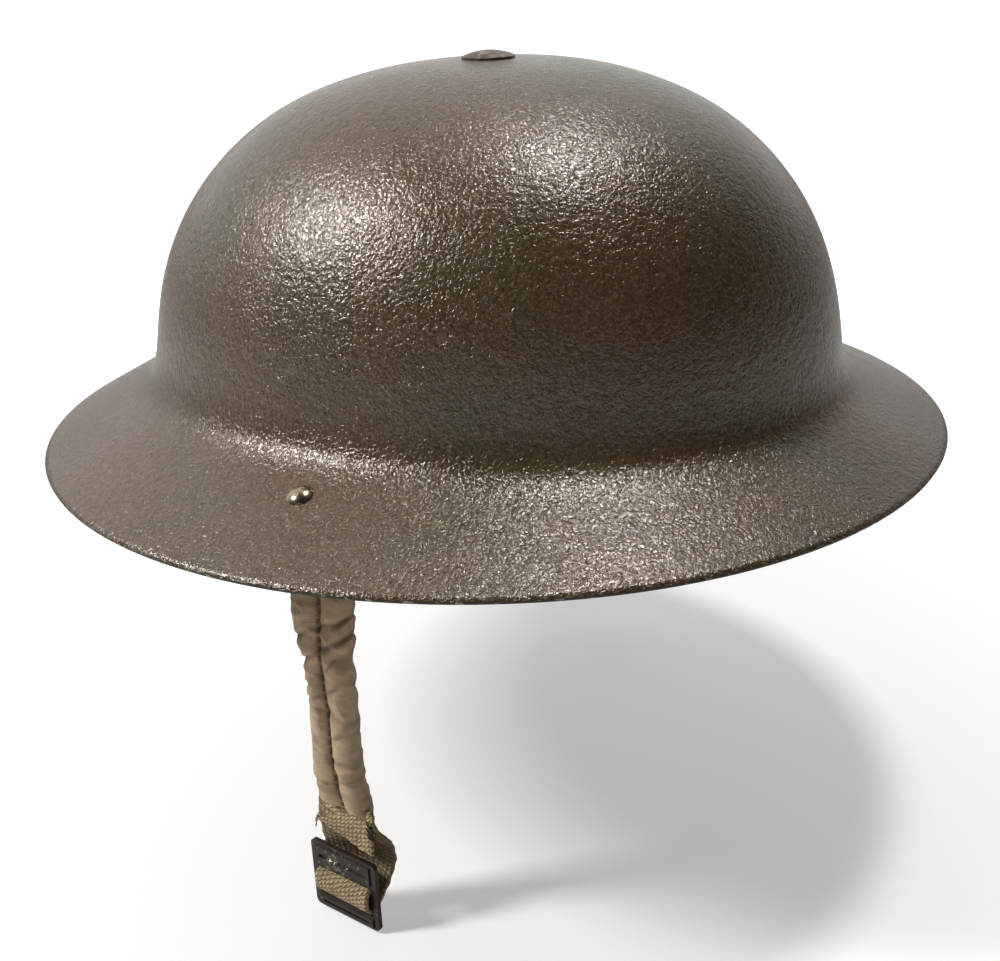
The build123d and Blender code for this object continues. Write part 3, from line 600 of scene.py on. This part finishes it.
lace_half_width, lace_half_length, lace_height, lace_radius = 0.0449, 0.0595, 0.0829, 0.001
lace = bmesh.new()
bmesh.ops.create_circle(lace, segments=12, radius=lace_radius)
bmesh.ops.rotate(lace, cent=(0, 0, 0), matrix=Matrix.Rotation(pi / 2, 3, "X"), verts=lace.verts)
bmesh.ops.translate(lace, vec=(lace_half_width, 0, 0), verts=lace.verts)
bmesh.ops.spin(lace, geom=lace.verts[:] + lace.edges[:], axis=(0, 0, 1), cent=(0, 0, 0), dvec=(0, 0, 0),
               angle=2 * pi, steps=120, use_merge=True)
bmesh.ops.remove_doubles(lace, verts=lace.verts, dist=0.000002)
for vert in lace.verts:
    vert.co.y = vert.co.y * lace_half_length / lace_half_width + ring_y
    vert.co.z += lace_height
bmesh.ops.recalc_face_normals(lace, faces=lace.faces)
lace_piece = make_piece("lace_braid", lace, "helmet", "cotton", "lining_lace")
braid, tree, shader, place = new_finish("cotton_braid", roughness=0.9)
strand = add_node(tree, "TexVoronoi", {"Vector": place, "Scale": 1400.0},
                  feature="DISTANCE_TO_EDGE").outputs[0]
colour_with(tree, shader, blend_colours(tree, step_up(tree, strand, 0.0, 0.3), (0.16, 0.13, 0.08),
                                        (0.42, 0.36, 0.25)))
raise_relief(tree, shader, strand, depth=0.0003)
lace_piece.data.materials.append(braid)


# Lugs and bails. Each lug is steel strip folded under the brim and painted with the shell, with an
# eye for a bail of blackened wire. Its one domed rivet shows on the brim, rubbed to bright brass.
lug_paint = worn_metal("lug_paint", metal=(0.30, 0.28, 0.25), paint=(0.060, 0.052, 0.036),
                       amount=0.35, roughness=0.5, fineness=380.0)
rivet_brass = worn_metal("rivet_brass", metal=(0.46, 0.39, 0.27), paint=(0.13, 0.10, 0.062),
                         amount=0.7, roughness=0.34, fineness=420.0)
black_steel = worn_metal("blackened_steel", metal=(0.26, 0.24, 0.21), paint=(0.024, 0.019, 0.017),
                         amount=0.24, roughness=0.38, fineness=480.0)
for side in ("left", "right"):
    dress("lug_" + side, lug_paint)
    dress("lug_rivet_" + side, rivet_brass)
    dress("bail_" + side, black_steel)


# Strap tapes. A short cotton tape goes round the lower bar of each bail, and its two ends are
# laid together and sewn into the top of the sleeve.
bar_x, bar_z = 0.1072267, 0.0001306
tape_half_width, tape_wall, tape_bend, tape_drop, tape_gap = 0.0085, 0.00125, 0.00203, 0.0096, 0.0007


def humps(tree, value):
    """A row of round humps, one for every step of 1 in a value."""
    return figure(tree, "ABSOLUTE", figure(tree, "SINE", figure(tree, "MULTIPLY", value, pi)))


# Woven cloth. The relief and shade of threads that run on the slant: in webbing every column is a
# plump cord, half a thread out of step with the next, and in twill the column is very wide.
woven, taken, given = new_effect(
    "woven", [("Cloth", "Vector", None), ("Pitch", "Float", 0.001), ("Column", "Float", 0.003),
              ("Slant", "Float", 1.0)],
    [("Height", "Float"), ("Gap_shade", "Float")])
parts = add_node(woven, "SeparateXYZ", {0: taken["Cloth"]}).outputs
wobble = add_node(woven, "TexNoise", {"Vector": taken["Cloth"], "Scale": 420.0,
                                      "Detail": 1.0}).outputs["Fac"]
turned = figure(woven, "MULTIPLY", figure(woven, "MODULO", parts["X"], taken["Column"]), taken["Slant"])
course = figure(woven, "DIVIDE", figure(woven, "ADD", parts["Y"], turned), taken["Pitch"])
cord = figure(woven, "DIVIDE", parts["X"], taken["Column"])
course = figure(woven, "MULTIPLY_ADD", figure(woven, "FLOOR", cord), 0.5, course)
course = figure(woven, "ADD", course, figure(woven, "MULTIPLY", wobble, 0.7))
plump = figure(woven, "MAXIMUM", humps(woven, cord), 0.35)
cell = figure(woven, "POWER", figure(woven, "MULTIPLY", humps(woven, course), plump), 0.6)
hairs = add_node(woven, "TexNoise", {"Vector": taken["Cloth"], "Scale": 2600.0,
                                     "Detail": 2.0}).outputs["Fac"]
woven.links.new(figure(woven, "MULTIPLY_ADD", hairs, 0.35, cell), given["Height"])
# Gap_shade marks the dips between the threads, where shade is painted.
woven.links.new(step_up(woven, cell, 0.25, 0.75, start=1.0, end=0.0), given["Gap_shade"])


def on_cloth(tree):
    """The piece's own UV map, in metres."""
    return add_node(tree, "UVMap", uv_map="cloth").outputs[0]


def cotton(name, light, dark, soil_and_gap_shade, pitch, column, relief, gap_shade, slant=0.6):
    """Faded cotton cloth, with its threads, painted shade in the gaps between them, soiled patches and a
    soft sheen; also gives its tint.
    """
    finish, tree, shader, place = new_finish(name, roughness=0.92)
    threads = use_effect(tree, woven, {"Cloth": on_cloth(tree), "Pitch": pitch, "Column": column,
                                       "Slant": slant})
    tint = blend_colours(tree, stain_mask(tree, place, scale=260.0, contrast=0.3), dark, light)
    tint = wash(tree, tint, soil_and_gap_shade, stain_mask(tree, place, scale=95.0, contrast=0.16), most=0.65)
    # Painted shade: the gaps between the threads are darkened with a deep tone of the soil colour.
    tint = wash(tree, tint, tuple(0.35 * c for c in soil_and_gap_shade), threads["Gap_shade"], gap_shade)
    colour_with(tree, shader, tint)
    shader.inputs["Sheen Weight"].default_value = 0.1
    raise_relief(tree, shader, threads["Height"], relief)
    return finish, tree, shader, tint


# Webbing is painted darker brown over its first two centimetres, where it is sewn in: painted shade, with
# some soil.
webbing_cloth, tree, shader, tint = cotton(
    "webbing_cotton", light=(0.62, 0.50, 0.27), dark=(0.46, 0.35, 0.185), soil_and_gap_shade=(0.28, 0.20, 0.12),
    pitch=0.0014, column=0.0017, relief=0.0008, gap_shade=0.42)
reach = add_node(tree, "SeparateXYZ", {0: on_cloth(tree)}).outputs["Y"]
shaded_and_soiled = step_up(tree, reach, 0.018, 0.027, start=0.55, end=0.0)
colour_with(tree, shader, blend_colours(tree, shaded_and_soiled, tint, (0.20, 0.125, 0.07)))


def cloth_strip(points, wide, columns, rows, uneven=0.0003, turns=((0, 0), (1, 0))):
    """Webbing along a line of points, and its flat size. Wide is its width direction times half its
    width; it turns about the upright by degrees that are given at shares of its length."""
    length = line_length(points)
    wide = Vector(wide)

    def place(u, v):
        wander = noise.noise(Vector((40 * v * length / 0.1, 3.0 * round(u), 1.7)))
        edge = abs(2 * u - 1) ** 6
        here = Matrix.Rotation(radians(smooth_between(turns, min(v, 0.999))), 3, "Z") @ wide
        return along(points, v) + here * (2 * u - 1) + here.normalized() * edge * uneven * wander

    flat = (2 * wide.length, length)
    return cloth_grid(columns, rows, place, flat), flat


def bend_round(centre, radius, start, end, steps):
    """Points on an arc in the upright plane across the helmet, between two angles in degrees."""
    turn = [radians(start + (end - start) * k / steps) for k in range(steps + 1)]
    return [centre + radius * Vector((cos(a), 0, sin(a))) for a in turn]


for side, sign in (("left", 1), ("right", -1)):
    bar = Vector((sign * bar_x, 0, bar_z))
    loop = [bar + Vector((tape_gap, 0, -tape_drop)),
            *bend_round(bar, tape_bend, start=-62, end=242, steps=26),
            bar + Vector((-tape_gap, 0, -tape_drop))]
    tape, cut = cloth_strip(loop, (0, tape_half_width, 0), columns=12, rows=60)
    tape_piece = make_piece("tape_" + side, tape, "strap_" + side, "webbing", "strap_tape_" + side)
    thicken(tape_piece, tape_wall, webbing_cloth)


# Sleeves. Two tubes of cotton twill, sewn side by side down the middle, each round a spring. The
# springs have drawn the cloth up, so it is creased across and pinched in below the brim.
sleeve_top, sleeve_bottom, sleeve_girth = -0.009569, -0.096569, 0.056
sleeve_length = sleeve_top - sleeve_bottom
# Measures down the sleeve, in metres. The names are the columns after the distance from its top.
front_edge, back_edge, seam, half_depth = 1, 2, 3, 4
sleeve_stations = [
    (0.000, -0.0080, 0.0105, 0.0008, 0.0038), (0.008, -0.0086, 0.0112, 0.0009, 0.0044),
    (0.016, -0.0090, 0.0119, 0.0010, 0.0045), (0.026, -0.0081, 0.0119, 0.0022, 0.0045),
    (0.032, -0.0068, 0.0102, 0.0027, 0.0041), (0.040, -0.0070, 0.0093, 0.0022, 0.0043),
    (0.047, -0.0073, 0.0092, 0.0018, 0.0044), (0.056, -0.0068, 0.0095, 0.0018, 0.0041),
    (0.066, -0.0068, 0.0099, 0.0018, 0.0043), (0.076, -0.0074, 0.0100, 0.0011, 0.0044),
    (0.084, -0.0090, 0.0094, -0.0005, 0.0043), (0.088, -0.0100, 0.0088, -0.0014, 0.0040)]
# Creases: distance down, how far one falls across a tube, depth and half width, in metres.
creases = [
    (0.0120, 0.0034, 0.0006, 0.0024), (0.0215, 0.0050, 0.0016, 0.0022), (0.0290, 0.0064, 0.0021, 0.0021),
    (0.0360, 0.0074, 0.0012, 0.0017), (0.0440, 0.0040, 0.0016, 0.0019), (0.0520, -0.0030, 0.0008, 0.0020),
    (0.0600, 0.0034, 0.0012, 0.0019), (0.0680, -0.0024, 0.0008, 0.0020), (0.0760, 0.0028, 0.0010, 0.0018),
    (0.0820, 0.0010, 0.0007, 0.0015)]
waist_share, foot_pinch, deepest_crease, seam_shade_width = 0.42, 0.003, 0.0019, 0.14
crease_sway, fold_height, ripple_height, edge_wander, foot_slant = 0.0016, 0.0007, 0.0003, 0.0004, 0.02

# Twill is faded lower down and soiled in soft rucks, with painted shade in its creases and along its seam,
# and it is stitched along its seam.
twill_cloth, tree, shader, tint = cotton(
    "sleeve_twill", light=(0.70, 0.53, 0.34), dark=(0.52, 0.385, 0.24), soil_and_gap_shade=(0.31, 0.21, 0.13),
    pitch=0.0010, column=0.4, relief=0.00018, gap_shade=0.30, slant=-0.8)
parts = add_node(tree, "SeparateXYZ", {0: on_cloth(tree)}).outputs
faded = step_up(tree, parts["Y"], 0.024, 0.040, start=0.0, end=0.45)
tint = blend_colours(tree, faded, tint, (0.68, 0.52, 0.345))
slanted = add_node(tree, "Mapping", {"Vector": on_cloth(tree), "Rotation": (0, 0, 0.35),
                                     "Scale": (0.4, 1.5, 1)}).outputs[0]
rucks = stain_mask(tree, slanted, scale=150.0, contrast=0.13)
tint = wash(tree, tint, (0.26, 0.18, 0.12), rucks, most=0.5)
crease_shade = add_node(tree, "Attribute", attribute_name="fold").outputs["Fac"]
# Painted shade: the creases and the trough of the seam are darkened, as if in shadow.
tint = wash(tree, tint, (0.075, 0.046, 0.030), crease_shade, most=0.9)
on_seam = step_up(tree, figure(tree, "PINGPONG", parts["X"], 0.014), 0.0131, 0.0137)
in_stitch = figure(tree, "GREATER_THAN", figure(tree, "PINGPONG", parts["Y"], 0.0016), 0.0006)
stitched = figure(tree, "MULTIPLY", on_seam, in_stitch)
colour_with(tree, shader, wash(tree, tint, (0.08, 0.055, 0.04), stitched, most=0.7))


def sleeve_at(down, column):
    """One of the sleeve's measures at a distance down from its top."""
    return smooth_between([(station[0], station[column]) for station in sleeve_stations], down)


def crease_depth(down, q, lane):
    """How deep the creases press the cloth in, at a place on a sleeve."""
    sway = crease_sway * noise.noise(Vector((2.2 * q, 60 * down, lane)))
    reach = 0.65 + 0.5 * noise.noise(Vector((1.7 * q + lane, 90 * down, 8.0)))
    return sum(depth * reach * max(0, 1 - abs(down + sway - at - fall * (q + 0.2)) / wide) ** 1.3
               for at, fall, depth, wide in creases)


def lane_of(q, face, sign):
    """A number for each face of each tube, so that its creases are its own."""
    return 5 * (q > 0) + 11 * face + 3 * sign


def sleeve_point(sign, u, v):
    """A point of one sleeve: u goes round both tubes and v down them. Across them, q goes from -1
    at the front edge over 0 at the seam to 1 at the back edge."""
    down = v * sleeve_length
    q = -cos(2 * pi * u)
    face = 1 if sin(2 * pi * u) > 0 else -1
    seam_y = sleeve_at(down, seam)
    y = seam_y + abs(q) * (sleeve_at(down, back_edge if q > 0 else front_edge) - seam_y)
    depth = sleeve_at(down, half_depth)
    tube = depth * sqrt(max(1 - (2 * abs(q) - 1) ** 2, 0))
    waist = waist_share * depth * max(1 - 2.2 * abs(q), 0)
    half = sqrt(tube**2 + waist**2)
    half *= min(1, 0.25 + (1 - v) * sleeve_length / foot_pinch)
    lane = lane_of(q, face, sign)
    crease = noise.noise(Vector((1.1 * q + lane, 170 * down, 0.4)))
    ripple = noise.noise(Vector((2.3 * q + 90 * down, 420 * down, lane)))
    fold = (0.6 - abs(crease) * 2) * fold_height + ripple * ripple_height
    sharp = crease_depth(down, q, lane) * min(1, 0.2 + 2.6 * abs(q))
    half += (fold - sharp) * min(1, abs(sin(2 * pi * u)) * 3) * min(1, 8 * v, 10 * (1 - v))
    y += edge_wander * noise.noise(Vector((120 * down, lane, 2.0))) * abs(q)
    return Vector((sign * bar_x + face * half, y, sleeve_top - down * (1 - foot_slant * q)))


for side, sign in (("left", 1), ("right", -1)):
    body = cloth_grid(112, 190, lambda u, v: sleeve_point(sign, u, v), (sleeve_girth, sleeve_length),
                      closed=True)
    crease_shade_layer = body.verts.layers.float.new("fold")
    for vert in body.verts:
        down = sleeve_top - vert.co.z
        off = vert.co.y - sleeve_at(down, seam)
        edge_at = sleeve_at(down, back_edge if off > 0 else front_edge)
        q = off / abs(edge_at - sleeve_at(down, seam))
        lane = lane_of(q, 1 if vert.co.x > sign * bar_x else -1, sign)
        # Painted shade along the seam between the two tubes.
        seam_shade = max(0, 1 - abs(q) / seam_shade_width) * 0.7
        vert[crease_shade_layer] = min(1, max(crease_depth(down, q, lane) / deepest_crease, seam_shade))
    ends = [edge for edge in body.edges if edge.is_boundary]
    bmesh.ops.holes_fill(body, edges=ends, sides=0)
    bmesh.ops.recalc_face_normals(body, faces=body.faces)
    sleeve_piece = make_piece("sleeve_cloth_" + side, body, None, "twill", "sleeve_" + side)
    sleeve_piece.data.materials.append(twill_cloth)
    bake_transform(sleeve_piece)
    dress("springs_" + side, plain_steel)


# Buckle half of the webbing. A corded cotton strap is sewn to the sleeve's foot under a short
# lighter end piece; it goes down behind the buckle, round its centre bar and back up to its seam.
bar_centre = Vector((-0.1106735, 0.0006078, -0.1254694))
bar_turn = radians(10)
outward = Vector((-cos(bar_turn), sin(bar_turn), 0))
forward = Vector((-sin(bar_turn), -cos(bar_turn), 0))
half_web, web_wall = 0.0109, 0.0013
ply_wall, ply_lap, ply_drop, ply_slant = 0.0012, 0.0012, 0.0080, 0.0046


def beside_bar(out, rise, ahead=0):
    """A point beside the buckle's bar, by its distance outward, up and ahead, in millimetres."""
    return bar_centre + outward * out * 0.001 + forward * ahead * 0.001 + Vector((0, 0, rise * 0.001))


def round_corners(points, times):
    """A line of points with its corners cut off a number of times."""
    for _ in range(times):
        cuts = [a.lerp(b, share) for a, b in zip(points, points[1:]) for share in (0.25, 0.75)]
        points = [points[0], *cuts, points[-1]]
    return points


dress("buckle", worn_metal("buckle_lacquer", metal=(0.23, 0.21, 0.18), paint=(0.040, 0.028, 0.026),
                           amount=0.28, roughness=0.33, fineness=620.0, film_share=0.1,
                           rubbed_at=tuple(beside_bar(1.0, 8.2, -3.2))))

loop = round_corners([beside_bar(*point) for point in (
    (-3.2, 31), (-2.7, 26), (-3.6, 22, 0.2), (-5.4, 17.5, 0.6), (-7.1, 12.5, 1.0), (-7.3, 8, 1.0),
    (-6.3, 4, 0.8), (-4.8, 1, 0.4), (-3.3, -1.4, 0.2), (-1.9, -3.1),
    (-0.3, -4.0), (1.2, -3.6), (2.2, -2.2), (2.6, -0.4), (2.6, 1.2), (2.1, 2.8), (1.0, 3.8), (-0.4, 4.2),
    (-1.5, 5.0), (-2.0, 6.6), (-2.1, 9), (-2.15, 12.5))], 3)
# The webbing turns about the upright as it goes: share of its length, degrees.
turns = [(0, 0), (0.08, 3), (0.2, 15), (0.32, 27), (0.44, 24), (0.56, 9), (0.65, 0), (0.8, 0), (1, 0)]
web, cut = cloth_strip(loop, -forward * half_web, columns=20, rows=150, uneven=0.0005, turns=turns)
web_piece = make_piece("webbing_loop", web, "webbing_right", "webbing", "webbing_right")
thicken(web_piece, web_wall, webbing_cloth)


def outer_ply(u, v):
    """A point of the short outer ply, cut on the slant so that it hangs lower at the front."""
    low = -ply_drop - ply_slant * u + 0.0005 * noise.noise(Vector((14 * u, 0, 5)))
    drop = ply_lap + (low - ply_lap) * v
    lift = 0.0004 * noise.noise(Vector((7 * u, 6 * v, 1))) + 0.0005 * v
    return (Vector((-bar_x - 0.0001, 0, sleeve_bottom)) + outward * (0.0004 + 0.0010 * v + lift)
            + forward * (0.0212 * (u - 0.5) + 0.0008) + Vector((0, 0, drop)))


# Painted light: the upturned end piece gets a lighter copy of the webbing, as if lit from above.
lit_webbing = cotton(
    "webbing_painted_light", light=(0.66, 0.54, 0.31), dark=(0.49, 0.38, 0.20), soil_and_gap_shade=(0.30, 0.21, 0.12),
    pitch=0.0014, column=0.0017, relief=0.0008, gap_shade=0.42)[0]
ply = cloth_grid(30, 20, outer_ply, (0.0212, 0.0115))
outer_end = make_piece("webbing_end", ply, "webbing_right", "webbing")
thicken(outer_end, ply_wall, lit_webbing)


# Six cotton threads have frayed out at the back edge, and seven dark stitches show at the front.
def thread(sculpt, points, radius):
    """A thread through points, as short round lengths."""
    for a, b in zip(points, points[1:]):
        turn = (b - a).to_track_quat("Z", "Y").to_matrix().to_4x4()
        bmesh.ops.create_cone(sculpt, segments=7, radius1=radius, radius2=radius,
                              depth=(b - a).length * 1.15, cap_ends=True,
                              matrix=Matrix.Translation((a + b) / 2) @ turn)


frayed = bmesh.new()
for k in range(6):
    start = beside_bar(-2.2 + 0.25 * (k % 3), 23.4 - 0.5 * k, -11.2)
    drift = Vector((noise.noise(Vector((k, 1, 0))), noise.noise(Vector((k, 2, 0))), 0)) * 0.0022
    thread(frayed, [start - forward * (0.0006 * n) - Vector((0, 0, 0.0003 * n * n)) + drift * n / 5
                    for n in range(2 + k % 4)], radius=0.00022)
frayed_piece = make_piece("frayed_threads", frayed, "webbing_right", "webbing")
frayed_piece.data.materials.append(lit_webbing)

sewing = bmesh.new()
for k in range(7):
    start = beside_bar(-1.3 + 0.2 * (k % 2), 28.8 - 0.8 * k, 10.0 + 0.5 * (k % 3))
    thread(sewing, [start, start + forward * 0.0012 + outward * 0.0005 - Vector((0, 0, 0.0008)),
                    start + forward * 0.0020 - outward * 0.0004 - Vector((0, 0, 0.0019))], radius=0.0003)
sewing_piece = make_piece("sewing_threads", sewing, "webbing_right", "cotton")
waxed, tree, shader, place = new_finish("waxed_thread", roughness=0.6)
lay = add_node(tree, "TexWave", {"Vector": place, "Scale": 900.0, "Distortion": 2.0}).outputs["Fac"]
colour_with(tree, shader, blend_colours(tree, lay, (0.012, 0.011, 0.010), (0.060, 0.052, 0.045)))
raise_relief(tree, shader, lay, depth=0.0001)
sewing_piece.data.materials.append(waxed)


# Free half of the webbing. It hangs from the far sleeve, turns up at a fold and stands behind the
# sleeve, so that its brass tip is out of the way under the brim.
fold_radius, fold_z = 0.003225, -0.111869
tail_start, straight_end, tail_middle, tail_end = -0.0935, -0.1045, -0.060, -0.016
fold_centre = Vector((bar_x - fold_radius, 0, fold_z))
tail = [Vector((bar_x, 0, height)) for height in (tail_start, straight_end)]
tail += bend_round(fold_centre, fold_radius, start=0, end=-180, steps=18)
tail += [Vector((bar_x - 2 * fold_radius, 0, height)) for height in (straight_end, tail_middle, tail_end)]
web, cut = cloth_strip(tail, (0, half_web, 0), columns=20, rows=220)
tail_piece = make_piece("webbing_tail", web, "webbing_left", "webbing", "webbing_left")
thicken(tail_piece, web_wall, webbing_cloth)
dress("tail_tip", worn_metal("tip_brass", metal=(0.50, 0.40, 0.22), paint=(0.20, 0.15, 0.08),
                             amount=0.6, roughness=0.34, fineness=500.0))
